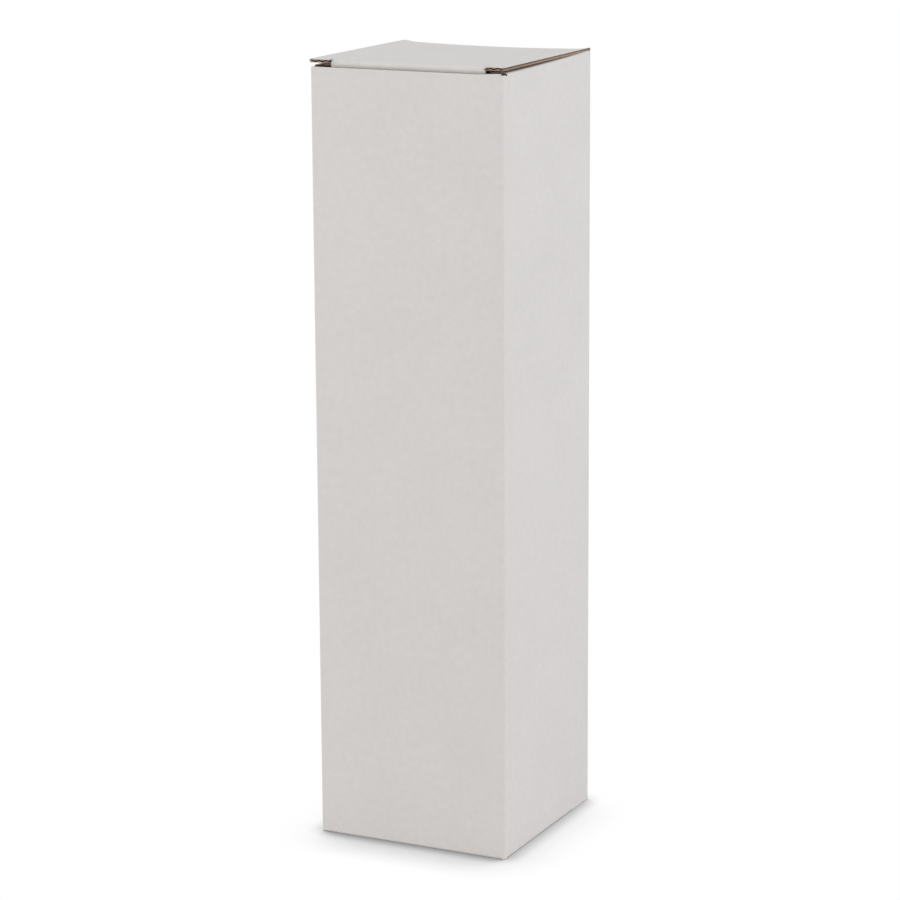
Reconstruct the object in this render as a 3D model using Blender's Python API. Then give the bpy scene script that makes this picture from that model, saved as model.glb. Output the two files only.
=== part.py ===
"""Bottle gift box: a tall square carton for one bottle.

The carton is one blank of thin corrugated board, cut, creased and folded. Each
panel and flap between two creases is a sub-part here, and the crease between two
of them is a mitre with a rounded outside. The lid is creased to the back wall, its
tuck flap slips inside the front wall, and two dust flaps lie under it. The bottom
is a snap-lock: the front flap's tongue lies on the notched back flap, with the two
side flaps between them.

Metres, +Z up. The origin is the middle of the footprint, on the surface that the
box stands on. The front faces -Y.
"""

import math

import bmesh
import bpy
from mathutils import Matrix, Vector

# Whole box, outside sizes
box_width = 0.090
box_depth = 0.090
wall_height = 0.340

# Board and creases
board = 0.0015
crease_radius = 0.0010
crease_gap = 0.0003
sheet_gap = 0.0003
edge_gap = 0.0006
relief_width = 0.0016
relief_depth = 0.0008

# Glue flap, inside the left wall
glue_flap_width = 0.025
glue_flap_foot = 0.012
glue_flap_drop = 0.009
glue_flap_taper = 0.006

# Dust flaps
dust_tip_gap = 0.010
dust_front_clearance = 0.0022
dust_notch = 0.0025
dust_front_setback = 0.0038
dust_rear_setback = 0.0018
dust_flap_taper = math.radians(29.0)
dust_corner = 0.004

# Lid
lid_overhang = 0.0003
slit_length = 0.0098
slit_gap = 0.0004
fold_inside_radius = 0.0007
fold_tail = 0.0020

# Tuck flap
tuck_length = 0.020
tuck_lean = math.radians(10.0)
tuck_shoulder_drop = 0.0012
tuck_side_gap = 0.0023
tuck_side_taper = 0.0030
tuck_corner = 0.0060

# Bottom flaps
root_run = 0.0020
flap_slope = math.radians(13.0)
lobe_gap = 0.020
lobe_setback = 0.014
lobe_corner = 0.004
tongue_width = 0.042
tongue_lead = 0.012
tongue_slope = math.radians(17.0)
tongue_grip = 0.018
tongue_taper_run = 0.010
tongue_corner = 0.005
tongue_clearance = 0.0020
ear_overlap = 0.005
ear_corner = 0.004

# How finely arcs are drawn, how far a cutter overruns what it cuts, and the size at
# which a joint's empty is drawn
arc_step = math.radians(12.0)
overrun = 0.002
joint_mark = 0.010

# Levels and places that follow from the sizes above
front_face = -box_depth / 2
back_face = box_depth / 2
right_face = box_width / 2
layer = board + sheet_gap
side_top = wall_height + board
lid_top = side_top + layer
mitre_gap = crease_gap / math.sqrt(2)
flap_root = right_face - board - edge_gap
fold_radius = fold_inside_radius + board
fold_centre = (front_face + layer + fold_radius, lid_top - fold_radius)
fold_half_width = right_face - slit_length
fold_split = math.radians(90.0) + (math.radians(90.0) + tuck_lean) / 2
side_flap_rise = root_run + layer / math.tan(flap_slope)
back_flap_rise = root_run + 2 * layer / math.tan(flap_slope)
dust_front = front_face + layer + board + dust_front_clearance
dust_crease_front = front_face + dust_front_setback
dust_crease_rear = back_face - dust_rear_setback
ramp_start = -tongue_lead
tongue_rise = 3 * layer
ramp_end = ramp_start + tongue_rise / math.tan(tongue_slope)
over_bottom = tongue_rise + 2 * layer

white_liner = (0.66, 0.63, 0.60)
brown_liner = (0.36, 0.25, 0.16)


def new_collection(name):
    """A collection of the scene."""
    collection = bpy.data.collections.new(name)
    bpy.context.scene.collection.children.link(collection)
    return collection


for old in list(bpy.data.objects):
    bpy.data.objects.remove(old)
parts = new_collection("bottle_gift_box")
cutters = new_collection("cutters")


def arc(centre, radius, start, end):
    """Points on an arc from one angle to another, both ends included."""
    steps = max(1, math.ceil(abs(end - start) / arc_step))
    angles = [start + (end - start) * step / steps for step in range(steps + 1)]
    return [(centre[0] + radius * math.cos(a), centre[1] + radius * math.sin(a)) for a in angles]


def rounded(points, radii):
    """A closed outline with each corner replaced by an arc of its own radius."""
    outline = []
    count = len(points)
    for index, (point, radius) in enumerate(zip(points, radii)):
        corner = Vector(point)
        before = (Vector(points[index - 1]) - corner).normalized()
        after = (Vector(points[(index + 1) % count]) - corner).normalized()
        if radius == 0:
            outline.append(tuple(corner))
            continue
        half_angle = before.angle(after) / 2
        reach = radius / math.tan(half_angle)
        centre = corner + (before + after).normalized() * radius / math.sin(half_angle)
        first = corner + before * reach - centre
        last = corner + after * reach - centre
        start = math.atan2(first.y, first.x)
        turn = math.atan2(last.y, last.x) - start
        turn -= math.tau * round(turn / math.tau)
        outline += arc(centre, radius, start, start + turn)
    return outline


def mirrored(points):
    """The same outline on the other side of the first axis."""
    return [(-u, v) for u, v in points]


def crease_end(corner):
    """End of a board at a crease, from its outer face (v = 0) to its inner face.

    Half of the crease's round outside, then the mitre, held back by half the gap.
    """
    half_turn = math.pi / 4 - math.asin(crease_gap / 2 / crease_radius)
    centre = (corner - crease_radius, crease_radius)
    outside = arc(centre, crease_radius, -math.pi / 2, -math.pi / 2 + half_turn)
    return outside + [(corner - board - mitre_gap, board)]


def cut_end(corner):
    """Square end of a board that was cut, from its outer face to its inner face."""
    return [(corner, 0), (corner, board)]


def board_section(low, high, low_end, high_end):
    """Section of a flat board from low to high along u, with v through its thickness."""
    near = mirrored(low_end(-low))
    return high_end(high) + near[::-1]


def offset_path(path, distance):
    """A path moved sideways to its left, with its corners kept sharp."""
    points = [Vector(point) for point in path]
    normals = [(b - a).orthogonal().normalized() for a, b in zip(points, points[1:])]
    moved = [points[0] + normals[0] * distance]
    for point, before, after in zip(points[1:], normals, normals[1:]):
        moved.append(point + (before + after) * distance / (1 + before.dot(after)))
    moved.append(points[-1] + normals[-1] * distance)
    return [tuple(point) for point in moved]


def bent_section(path):
    """Section of a board that starts at a crease and follows its outer face's path.

    The path starts at the crease's outside corner, (0, 0), and first runs along u.
    """
    near = mirrored(crease_end(0))
    inner = offset_path(path, board)
    return near[::-1] + path[1:] + inner[:0:-1]


def material(name, colour):
    """A matt paper material."""
    paper = bpy.data.materials.new(name)
    paper.use_nodes = True
    shader = paper.node_tree.nodes["Principled BSDF"]
    shader.inputs["Base Color"].default_value = (*colour, 1)
    shader.inputs["Roughness"].default_value = 0.85
    shader.inputs["Metallic"].default_value = 0
    return paper


def prism(name, outline, low, high, along, collection):
    """A solid made from a flat outline, drawn out from low to high along an axis.

    The outline is in X and Y along Z, in Y and Z along X, and in X and Z along Y.
    """
    curve = bpy.data.curves.new(name, "CURVE")
    curve.dimensions = "2D"
    curve.fill_mode = "BOTH"
    curve.extrude = (high - low) / 2
    spline = curve.splines.new("POLY")
    spline.points.add(len(outline) - 1)
    for point, (u, v) in zip(spline.points, outline):
        point.co = (u, v, 0, 1)
    spline.use_cyclic_u = True

    middle = (high + low) / 2
    turns = {
        "Z": Matrix.Identity(4),
        "X": Matrix(((0, 0, 1, 0), (1, 0, 0, 0), (0, 1, 0, 0), (0, 0, 0, 1))),
        "Y": Matrix(((1, 0, 0, 0), (0, 0, -1, 0), (0, 1, 0, 0), (0, 0, 0, 1))),
    }
    shift = {"X": (middle, 0, 0), "Y": (0, middle, 0), "Z": (0, 0, middle)}[along]
    placed = Matrix.Translation(shift) @ turns[along]

    drawn = bpy.data.objects.new(name + "_outline", curve)
    bpy.context.scene.collection.objects.link(drawn)
    depsgraph = bpy.context.evaluated_depsgraph_get()
    mesh = bpy.data.meshes.new_from_object(drawn.evaluated_get(depsgraph))
    mesh.transform(placed)
    bpy.data.objects.remove(drawn)

    shape = bmesh.new()
    shape.from_mesh(mesh)
    bmesh.ops.remove_doubles(shape, verts=shape.verts, dist=crease_gap / 100)
    bmesh.ops.recalc_face_normals(shape, faces=shape.faces)
    shape.to_mesh(mesh)
    shape.free()
    mesh.name = name
    mesh.set_sharp_from_angle(angle=2 * arc_step)

    solid = bpy.data.objects.new(name, mesh)
    collection.objects.link(solid)
    return solid


def piece(name, outline, low, high, along, colour=white_liner):
    """A named sub-part with its own material."""
    solid = prism(name, outline, low, high, along, parts)
    solid.data.materials.append(material(name, colour))
    return solid


def cutter(name, outline, low, high, along):
    """A solid that shapes sub-parts and isn't one itself."""
    solid = prism(name, outline, low, high, along, cutters)
    solid.hide_render = True
    solid.display_type = "WIRE"
    return solid


def shape_by(solid, tool, operation="INTERSECT"):
    """Let a cutter shape a sub-part: INTERSECT, DIFFERENCE or UNION."""
    change = solid.modifiers.new(tool.name, "BOOLEAN")
    change.operation = operation
    change.solver = "EXACT"
    change.object = tool


def rectangle(low_u, high_u, low_v, high_v):
    """Outline of a rectangle."""
    return [(low_u, low_v), (high_u, low_v), (high_u, high_v), (low_u, high_v)]


def hinge(name, place):
    """An empty on a joint's axis, which carries the moving piece."""
    empty = bpy.data.objects.new(name, None)
    empty.empty_display_size = joint_mark
    empty.location = place
    parts.objects.link(empty)
    return empty


def carry(empty, place, *solids):
    """Hang solids, which are drawn where they belong, on an empty at that place."""
    for solid in solids:
        solid.parent = empty
        solid.matrix_parent_inverse = Matrix.Translation(-Vector(place))


def relief_cutter(name, side):
    """The small notch at the top of the crease between the front and a side wall."""
    low_x, high_x = sorted((side * (right_face + overrun), side * (right_face - relief_width)))
    outline = rectangle(low_x, high_x, front_face - overrun, front_face + relief_width)
    return cutter(name, outline, wall_height - relief_depth, side_top + overrun, "Z")


def front_wall():
    """The wall with a cut top edge, which the lid's fold closes over."""
    upright = board_section(0, wall_height, crease_end, cut_end)
    section = [(front_face + v, z) for z, v in upright]
    wall = piece("front_panel", section, -right_face, right_face, "X")
    across = board_section(-right_face, right_face, crease_end, crease_end)
    plan = [(x, front_face + v) for x, v in across]
    shape_by(wall, cutter("front_panel_plan", plan, -overrun, wall_height + overrun, "Z"))
    for label, side in (("left", -1), ("right", 1)):
        shape_by(wall, relief_cutter(f"front_relief_{label}", side), "DIFFERENCE")


def back_wall():
    """The wall that carries the lid. Its left end is creased to the glue flap."""
    upright = board_section(0, lid_top, crease_end, crease_end)
    section = [(back_face - v, z) for z, v in upright]
    wall = piece("back_panel", section, -right_face, right_face, "X")
    across = board_section(layer - right_face, right_face, crease_end, crease_end)
    plan = [(x, back_face - v) for x, v in across]
    shape_by(wall, cutter("back_panel_plan", plan, -overrun, lid_top + overrun, "Z"))


def side_wall(label, side, rear_end):
    """A side wall. Its top is creased to a dust flap between two cut shoulders."""
    upright = board_section(0, side_top, crease_end, crease_end)
    section = [(side * (right_face - v), z) for z, v in upright]
    wall = piece(f"{label}_panel", section, front_face, back_face, "Y")
    along = board_section(front_face, back_face, crease_end, rear_end)
    plan = [(side * (right_face - v), y) for y, v in along]
    shape_by(wall, cutter(f"{label}_panel_plan", plan, -overrun, side_top + overrun, "Z"))
    shape_by(wall, relief_cutter(f"{label}_relief", side), "DIFFERENCE")

    shoulders = {
        "front": (front_face - overrun, dust_crease_front),
        "rear": (dust_crease_rear, back_face + overrun),
    }
    low_x, high_x = sorted((side * (right_face + overrun), side * flap_root))
    for place, (low_y, high_y) in shoulders.items():
        outline = rectangle(low_x, high_x, low_y, high_y)
        block = cutter(f"{label}_{place}_shoulder", outline, wall_height, side_top + overrun, "Z")
        shape_by(wall, block, "DIFFERENCE")


def glue_flap():
    """The flap that is creased to the back wall and glued inside the left wall."""
    face = layer - right_face
    along = board_section(0, glue_flap_width, crease_end, cut_end)
    plan = [(face + v, back_face - u) for u, v in along]
    flap = piece("glue_flap", plan, 0, wall_height, "Z", brown_liner)
    tip = back_face - glue_flap_width
    top = wall_height - glue_flap_drop
    outline = [
        (back_face, glue_flap_foot),
        (tip, glue_flap_foot + glue_flap_taper),
        (tip, top - glue_flap_taper),
        (back_face, top),
    ]
    shape_by(flap, cutter("glue_flap_outline", outline, -right_face, 0, "X"))


def front_bottom_flap():
    """The outermost bottom flap. Its tongue climbs over the back flap's notch."""
    tip = ramp_end + tongue_grip
    stops = [(0, 0), (ramp_start, 0), (ramp_end, tongue_rise), (tip, tongue_rise)]
    path = [stops[0]] + [(y - front_face, z) for y, z in stops[1:]]
    section = [(front_face + u, z) for u, z in bent_section(path)]
    flap = piece("front_bottom_flap", section, -right_face, right_face, "X")
    side = right_face - side_flap_rise - edge_gap
    tongue = tongue_width / 2
    half = [
        (flap_root, front_face),
        (flap_root, front_face + right_face - flap_root - edge_gap),
        (side, front_face + right_face - side - edge_gap),
        (side, ramp_start - tongue_taper_run),
        (tongue, ramp_start - sheet_gap),
        (tongue, tip),
    ]
    radii = [0, 0, 0, 0, 0, tongue_corner]
    shape_by(flap, both_halves("front_bottom_flap_plan", half, radii))


def side_bottom_flap(label, side):
    """A bottom flap that lies between the front flap and the back flap."""
    tip = lobe_gap / 2
    path = [(0, 0), (root_run, 0), (side_flap_rise, layer), (right_face - tip, layer)]
    section = [(side * (right_face - u), z) for u, z in bent_section(path)]
    flap = piece(f"{label}_bottom_flap", section, front_face, back_face, "Y")
    neck = tongue_width / 2 + tongue_clearance
    rear = back_face - back_flap_rise - edge_gap
    diagonal = front_face + right_face + edge_gap
    lobe_front = front_face + lobe_setback
    lobe_rear = ramp_start - tongue_clearance
    outline = rounded(
        [
            (right_face, diagonal - right_face),
            (diagonal - lobe_front, lobe_front),
            (tip, lobe_front),
            (tip, lobe_rear - lobe_corner),
            (neck, lobe_rear),
            (neck, rear),
            (right_face, rear),
        ],
        [0, 0, lobe_corner, 0, 0, lobe_corner, 0],
    )
    plan = [(side * x, y) for x, y in outline]
    shape_by(flap, cutter(f"{label}_bottom_flap_plan", plan, -overrun, over_bottom, "Z"))


def back_bottom_flap():
    """The innermost bottom flap, notched where the tongue comes through."""
    reach = box_depth / 2 + ear_overlap
    path = [(0, 0), (root_run, 0), (back_flap_rise, 2 * layer), (reach, 2 * layer)]
    section = [(back_face - u, z) for u, z in bent_section(path)]
    flap = piece("back_bottom_flap", section, -right_face, right_face, "X")
    notch = tongue_width / 2 + tongue_clearance
    half = [
        (notch, ramp_end + tongue_clearance),
        (notch, -ear_overlap),
        (flap_root, -ear_overlap),
        (flap_root, back_face),
    ]
    shape_by(flap, both_halves("back_bottom_flap_plan", half, [0, ear_corner, ear_corner, 0]))


def both_halves(name, half, radii):
    """A cutter for a bottom flap, from the right half of its outline seen from above."""
    outline = rounded(half + mirrored(half)[::-1], radii + radii[::-1])
    return cutter(name, outline, -overrun, over_bottom, "Z")


def dust_flap(label, side):
    """A flap under the lid, creased to a side wall and tapered towards the lid's hinge."""
    tip = dust_tip_gap / 2
    across = board_section(0, right_face - tip, crease_end, cut_end)
    section = [(side * (right_face - u), side_top - v) for u, v in across]
    flap = piece(f"{label}_dust_flap", section, front_face, back_face, "Y")
    inside = right_face - board
    crease_front = dust_crease_front + edge_gap
    crease_rear = dust_crease_rear - edge_gap
    tip_rear = crease_rear - (inside - tip) * math.tan(dust_flap_taper)
    outline = rounded(
        [
            (right_face, crease_front),
            (inside, crease_front),
            (inside - dust_notch, dust_front),
            (tip, dust_front),
            (tip, tip_rear),
            (inside, crease_rear),
            (right_face, crease_rear),
        ],
        [0, 0, 0, dust_corner, dust_corner, 0, 0],
    )
    mapped = [(side * x, y) for x, y in outline]
    plan = cutter(f"{label}_dust_flap_plan", mapped, wall_height - overrun, lid_top, "Z")
    shape_by(flap, plan)
    place = (side * right_face, 0, side_top)
    carry(hinge(f"{label}_dust_hinge", place), place, flap, plan)


def fold_turn(radius):
    """Half of the gap across the fold, as an angle at this radius."""
    return math.asin(crease_gap / 2 / radius)


def lid():
    """The lid panel, with its half of the fold between the two slits."""
    half_width = right_face + lid_overhang
    along = board_section(0, box_depth, crease_end, cut_end)
    section = [(back_face - u, lid_top - v) for u, v in along]
    panel = piece("lid_panel", section, -half_width, half_width, "X")
    recess = rectangle(-fold_half_width, fold_half_width, front_face - overrun, fold_centre[0])
    gap = cutter("fold_recess", recess, wall_height, lid_top + overrun, "Z")
    shape_by(panel, gap, "DIFFERENCE")

    top = math.pi / 2
    tail = fold_centre[0] + fold_tail
    band = arc(fold_centre, fold_radius, top, fold_split - fold_turn(fold_radius))
    band += arc(fold_centre, fold_inside_radius, fold_split - fold_turn(fold_inside_radius), top)
    band += [(tail, lid_top - board), (tail, lid_top)]
    half_fold = fold_half_width - slit_gap
    lip = cutter("lid_fold", band, -half_fold, half_fold, "X")
    shape_by(panel, lip, "UNION")

    place = (0, back_face, lid_top)
    lid_hinge = hinge("lid_hinge", place)
    carry(lid_hinge, place, panel, gap, lip)
    return lid_hinge


def tuck_flap(lid_hinge):
    """The flap beyond the lid's fold, which slips inside the front wall."""
    end = math.pi + tuck_lean
    outer = arc(fold_centre, fold_radius, fold_split + fold_turn(fold_radius), end)
    inner_start = fold_split + fold_turn(fold_inside_radius)
    inner = arc(fold_centre, fold_inside_radius, end, inner_start)
    down = Vector((math.sin(tuck_lean), -math.cos(tuck_lean))) * tuck_length
    tip_outer = Vector(outer[-1]) + down
    tip_inner = Vector(inner[0]) + down
    half_fold = fold_half_width - slit_gap
    shoulder = right_face - board - tuck_side_gap
    section = outer + [tuple(tip_outer), tuple(tip_inner)] + inner
    flap = piece("tuck_flap", section, -shoulder, shoulder, "X")
    level = wall_height - tuck_shoulder_drop
    half = [
        (half_fold, lid_top),
        (half_fold, level),
        (shoulder, level),
        (shoulder - tuck_side_taper, tip_inner.y),
    ]
    radii = [0, 0, edge_gap, tuck_corner]
    outline = rounded(half + mirrored(half)[::-1], radii + radii[::-1])
    front_view = cutter("tuck_flap_outline", outline, front_face, 0, "Y")
    shape_by(flap, front_view)

    place = (0, *arc(fold_centre, fold_radius, fold_split, fold_split)[0])
    tuck_hinge = hinge("tuck_hinge", place)
    carry(tuck_hinge, place, flap, front_view)
    carry(lid_hinge, lid_hinge.location, tuck_hinge)


front_wall()
back_wall()
side_wall("left", -1, cut_end)
side_wall("right", 1, crease_end)
glue_flap()
front_bottom_flap()
side_bottom_flap("left", -1)
side_bottom_flap("right", 1)
back_bottom_flap()
dust_flap("left", -1)
dust_flap("right", 1)
tuck_flap(lid())
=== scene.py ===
"""Looks of the bottle gift box: white-faced corrugated board, its creases and cut edges.

The carton is one flat blank, so every sheet here starts flat: u runs across the
flutes, v along them. A fold carries (u, v, depth) to its place on the closed box.
Each board is three plies, an outer liner, a fluted sheet and an inner liner, and its
cut edges show them. Metres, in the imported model's own place: the front faces -Y.
"""

from __future__ import annotations

import logging
import math
from collections.abc import Callable, Sequence
from dataclasses import dataclass
from enum import Enum
from functools import cached_property

import bmesh
import bpy
import numpy as np
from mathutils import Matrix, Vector


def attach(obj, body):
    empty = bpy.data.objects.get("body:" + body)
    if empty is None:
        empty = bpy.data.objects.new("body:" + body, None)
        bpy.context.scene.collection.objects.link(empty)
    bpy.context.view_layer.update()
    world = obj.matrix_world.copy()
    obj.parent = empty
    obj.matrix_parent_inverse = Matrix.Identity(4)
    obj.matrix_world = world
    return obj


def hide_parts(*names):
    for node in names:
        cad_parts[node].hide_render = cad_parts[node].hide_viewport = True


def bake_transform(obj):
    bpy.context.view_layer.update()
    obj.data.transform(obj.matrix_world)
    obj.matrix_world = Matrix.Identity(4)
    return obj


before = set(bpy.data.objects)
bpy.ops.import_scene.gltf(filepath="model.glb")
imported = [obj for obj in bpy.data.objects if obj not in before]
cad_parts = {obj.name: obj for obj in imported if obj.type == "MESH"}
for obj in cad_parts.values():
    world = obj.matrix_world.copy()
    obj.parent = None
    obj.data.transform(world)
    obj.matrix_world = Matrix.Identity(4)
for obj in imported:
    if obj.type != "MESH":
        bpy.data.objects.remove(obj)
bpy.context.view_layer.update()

log = logging.getLogger("bottle_gift_box")
logging.basicConfig(level=logging.INFO, format="%(message)s")

Array = np.ndarray
Colour = tuple[float, float, float]
Direction = tuple[float, float, float]
Place = tuple[float, float, float]
Point = tuple[float, float]
Span = tuple[float, float]
Outline = Sequence[Point]

MM = 0.001


# Shader writing


NOISE_ROUGHNESS = 0.55


class Socket:
    """A shader socket that can be reckoned with: its operators add Math nodes."""

    def __init__(self, shader: Shader, output: bpy.types.NodeSocket) -> None:
        """Keep the socket and the shader that it belongs to."""
        self.shader = shader
        self.output = output

    def __add__(self, other: Socket | float) -> Socket:
        """This plus other."""
        return self.shader.math("ADD", self, other)

    __radd__ = __add__

    def __mul__(self, other: Socket | float) -> Socket:
        """This times other."""
        return self.shader.math("MULTIPLY", self, other)

    __rmul__ = __mul__

    def __sub__(self, other: Socket | float) -> Socket:
        """This minus other."""
        return self.shader.math("SUBTRACT", self, other)

    def __rsub__(self, other: float) -> Socket:
        """Other minus this."""
        return self.shader.math("SUBTRACT", other, self)


class Shader:
    """Writes one node tree."""

    def __init__(self, tree: bpy.types.NodeTree) -> None:
        """Start from an empty tree."""
        self.tree = tree
        tree.nodes.clear()

    def node(
        self,
        kind: str,
        settings: dict[str, object] | None = None,
        sockets: dict[str | int, object] | None = None,
        output: str | int = 0,
    ) -> Socket | None:
        """Add any node.

        Args:
            kind: The node's type.
            settings: Its own settings, set first.
            sockets: A value or a Socket for each input, by name or number.
            output: The output that is wanted.

        Returns:
            That output, or None for a node that has none.
        """
        node = self.tree.nodes.new(kind)
        for name, value in (settings or {}).items():
            setattr(node, name, value)
        for name, value in (sockets or {}).items():
            if isinstance(value, Socket):
                self.tree.links.new(value.output, node.inputs[name])
            else:
                node.inputs[name].default_value = value
        return Socket(self, node.outputs[output]) if node.outputs else None

    def math(self, operation: str, first: Socket | float, second: Socket | float) -> Socket:
        """One Math node."""
        return self.node("ShaderNodeMath", {"operation": operation}, {0: first, 1: second})

    def noise(self, place: Socket, size: float, detail: float) -> Socket:
        """Smooth noise about 0, from about -0.5 to 0.5, whose blotches are about size wide."""
        sockets = {"Vector": place, "Scale": 1 / size, "Detail": detail, "Roughness": NOISE_ROUGHNESS}
        return self.node("ShaderNodeTexNoise", None, sockets) - 0.5

    def mix(self, factor: Socket, low: Colour, high: Colour) -> Socket:
        """Colour that runs from low to high with the factor."""
        sockets = {0: factor, 6: (*low, 1.0), 7: (*high, 1.0)}
        return self.node("ShaderNodeMix", {"data_type": "RGBA", "clamp_factor": True}, sockets, 2)


# Finishes


class Slot(Enum):
    """The record's material slots."""

    WHITE_BOARD = "white_board"
    BROWN_BOARD = "brown_board"


@dataclass(frozen=True)
class Paper:
    """Finish of one paper surface of the board.

    The colour runs between the paper's darker and lighter tone by cloudy mottle, finer
    grain and fibres that lie along the flutes. Fibres and grain also raise a bump.
    """

    name: str
    colour: Colour
    contrast: float
    mottle: float
    grain: float
    fibre: float
    roughness: float
    relief: float
    mottle_size: float = 3.2 * MM
    cloud_size: float = 28 * MM
    cloud_share: float = 0.5
    grain_size: float = 0.45 * MM
    grain_height: float = 0.6
    fibre_width: float = 0.22 * MM
    fibre_length: float = 3.0 * MM
    fibre_height: float = 0.7
    fine_detail: float = 3.0
    plain_detail: float = 2.0
    gloss_change: float = 0.12
    specular: float = 0.3

    def tone(self, share: float) -> Colour:
        """The paper's colour made lighter by a share, or darker by a negative one."""
        return tuple(min(1.0, channel * (1 + share)) for channel in self.colour)

    def material(self) -> bpy.types.Material:
        """Build the material once, and find it again after that.

        Returns:
            The material, which every surface of this paper shares.
        """
        if self.name in bpy.data.materials:
            return bpy.data.materials[self.name]
        paper = bpy.data.materials.new(self.name)
        paper.use_nodes = True
        shader = Shader(paper.node_tree)
        place = shader.node("ShaderNodeTexCoord", output="Object")
        blank = shader.node("ShaderNodeAttribute", {"attribute_name": "blank"}, output="Vector")
        stretch = (1 / self.fibre_width, 1 / self.fibre_length, 0.0)
        combed = shader.node("ShaderNodeVectorMath", {"operation": "MULTIPLY"}, {0: blank, 1: stretch})

        mottle = shader.noise(place, self.mottle_size, self.fine_detail)
        mottle += self.cloud_share * shader.noise(place, self.cloud_size, self.plain_detail)
        grain = shader.noise(place, self.grain_size, self.fine_detail)
        fibres = shader.noise(combed, 1.0, self.plain_detail)
        tone = 0.5 + self.mottle * mottle + self.grain * grain + self.fibre * fibres
        colour = shader.mix(tone, self.tone(-self.contrast), self.tone(self.contrast))

        height = self.grain_height * grain + self.fibre_height * fibres
        bump = {"Height": height, "Strength": 1.0, "Distance": self.relief}
        sockets = {
            "Base Color": colour,
            "Roughness": self.roughness + self.gloss_change * mottle,
            "Specular IOR Level": self.specular,
            "Normal": shader.node("ShaderNodeBump", None, bump),
        }
        surface = shader.node("ShaderNodeBsdfPrincipled", None, sockets)
        shader.node("ShaderNodeOutputMaterial", None, {"Surface": surface})
        return paper


WHITE_FACE = Paper(
    name="white_face",
    colour=(0.660, 0.637, 0.624),
    contrast=0.10,
    mottle=0.62,
    grain=0.10,
    fibre=0.20,
    roughness=0.62,
    relief=0.006 * MM,
)
CUT_WHITE = Paper(
    name="cut_white_liner",
    colour=(0.62, 0.57, 0.52),
    contrast=0.16,
    mottle=0.8,
    grain=0.8,
    fibre=0.8,
    roughness=0.85,
    relief=0.02 * MM,
)
BROWN_FACE = Paper(
    name="brown_liner",
    colour=(0.33, 0.235, 0.158),
    contrast=0.22,
    mottle=0.7,
    grain=0.7,
    fibre=1.0,
    roughness=0.82,
    relief=0.012 * MM,
)
BROWN_FLUTE = Paper(
    name="brown_fluting",
    colour=(0.210, 0.145, 0.105),
    contrast=0.25,
    mottle=0.7,
    grain=0.8,
    fibre=1.1,
    roughness=0.86,
    relief=0.014 * MM,
)
CUT_BROWN = Paper(
    name="cut_brown_paper",
    colour=(0.33, 0.240, 0.190),
    contrast=0.25,
    mottle=0.9,
    grain=1.0,
    fibre=0.8,
    roughness=0.9,
    relief=0.02 * MM,
)


# The board and its plies


@dataclass(frozen=True)
class Ply:
    """One paper sheet of the board.

    Its middle lies at depth middle + swing * sin(2 pi u / pitch) below the board's outer
    face, and its thickness is measured across the board. A liner has no swing.
    """

    middle: float
    thickness: float
    column: float
    outer_finish: Paper
    inner_finish: Paper
    cut_finish: Paper
    swing: float = 0.0
    pitch: float = math.inf

    def depths(self, u: Array) -> tuple[Array, Array]:
        """Depth of the ply's outer and inner face at each u."""
        middle = self.middle + self.swing * np.sin(2 * math.pi * u / self.pitch)
        return middle - self.thickness / 2, middle + self.thickness / 2


@dataclass(frozen=True)
class Corrugated:
    """The board: sizes of its plies, and the crushing at a crease.

    Attributes:
        glue: Space between a liner and the crests of the fluted sheet.
        wave_samples: Columns in one wave of the fluted sheet.
        liner_column: Greatest width of a liner's column.
        crushed: Thickness left on a crease, as a share of the board's.
        crush_run: Length over which the thickness comes back beside a crease.
    """

    thickness: float = 1.5 * MM
    outer_liner: float = 0.28 * MM
    fluting: float = 0.28 * MM
    inner_liner: float = 0.26 * MM
    pitch: float = 3.2 * MM
    glue: float = 0.01 * MM
    wave_samples: int = 8
    liner_column: float = 8 * MM
    crushed: float = 0.62
    crush_run: float = 1.2 * MM

    @cached_property
    def plies(self) -> tuple[Ply, Ply, Ply]:
        """The three sheets of the board.

        Returns:
            Outer liner, fluted sheet and inner liner. The fluted sheet's crests touch
            the glue on both liners.
        """
        low = self.outer_liner + self.glue
        high = self.thickness - self.inner_liner - self.glue
        outer = Ply(
            middle=self.outer_liner / 2,
            thickness=self.outer_liner,
            column=self.liner_column,
            outer_finish=WHITE_FACE,
            inner_finish=BROWN_FACE,
            cut_finish=CUT_WHITE,
        )
        fluted = Ply(
            middle=(low + high) / 2,
            thickness=self.fluting,
            column=self.pitch / self.wave_samples,
            outer_finish=BROWN_FLUTE,
            inner_finish=BROWN_FLUTE,
            cut_finish=CUT_BROWN,
            swing=(high - low - self.fluting) / 2,
            pitch=self.pitch,
        )
        inner = Ply(
            middle=self.thickness - self.inner_liner / 2,
            thickness=self.inner_liner,
            column=self.liner_column,
            outer_finish=BROWN_FACE,
            inner_finish=BROWN_FACE,
            cut_finish=CUT_BROWN,
        )
        return outer, fluted, inner


BOARD = Corrugated()


# Folding


NEARLY_ZERO = 1e-9
ROW_DIGITS = 8
EASED_ROWS = np.array([0.3, 0.6, 1.0])


def along(value: Array, start: float, end: float) -> Array:
    """Share of the way from start to end at a value, held between 0 and 1."""
    return np.clip((value - start) / (end - start), 0, 1)


def ease(share: Array) -> Array:
    """3 s^2 - 2 s^3 of the share s, held between 0 and 1."""
    held = np.clip(share, 0, 1)
    return held * held * (3 - 2 * held)


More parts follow.
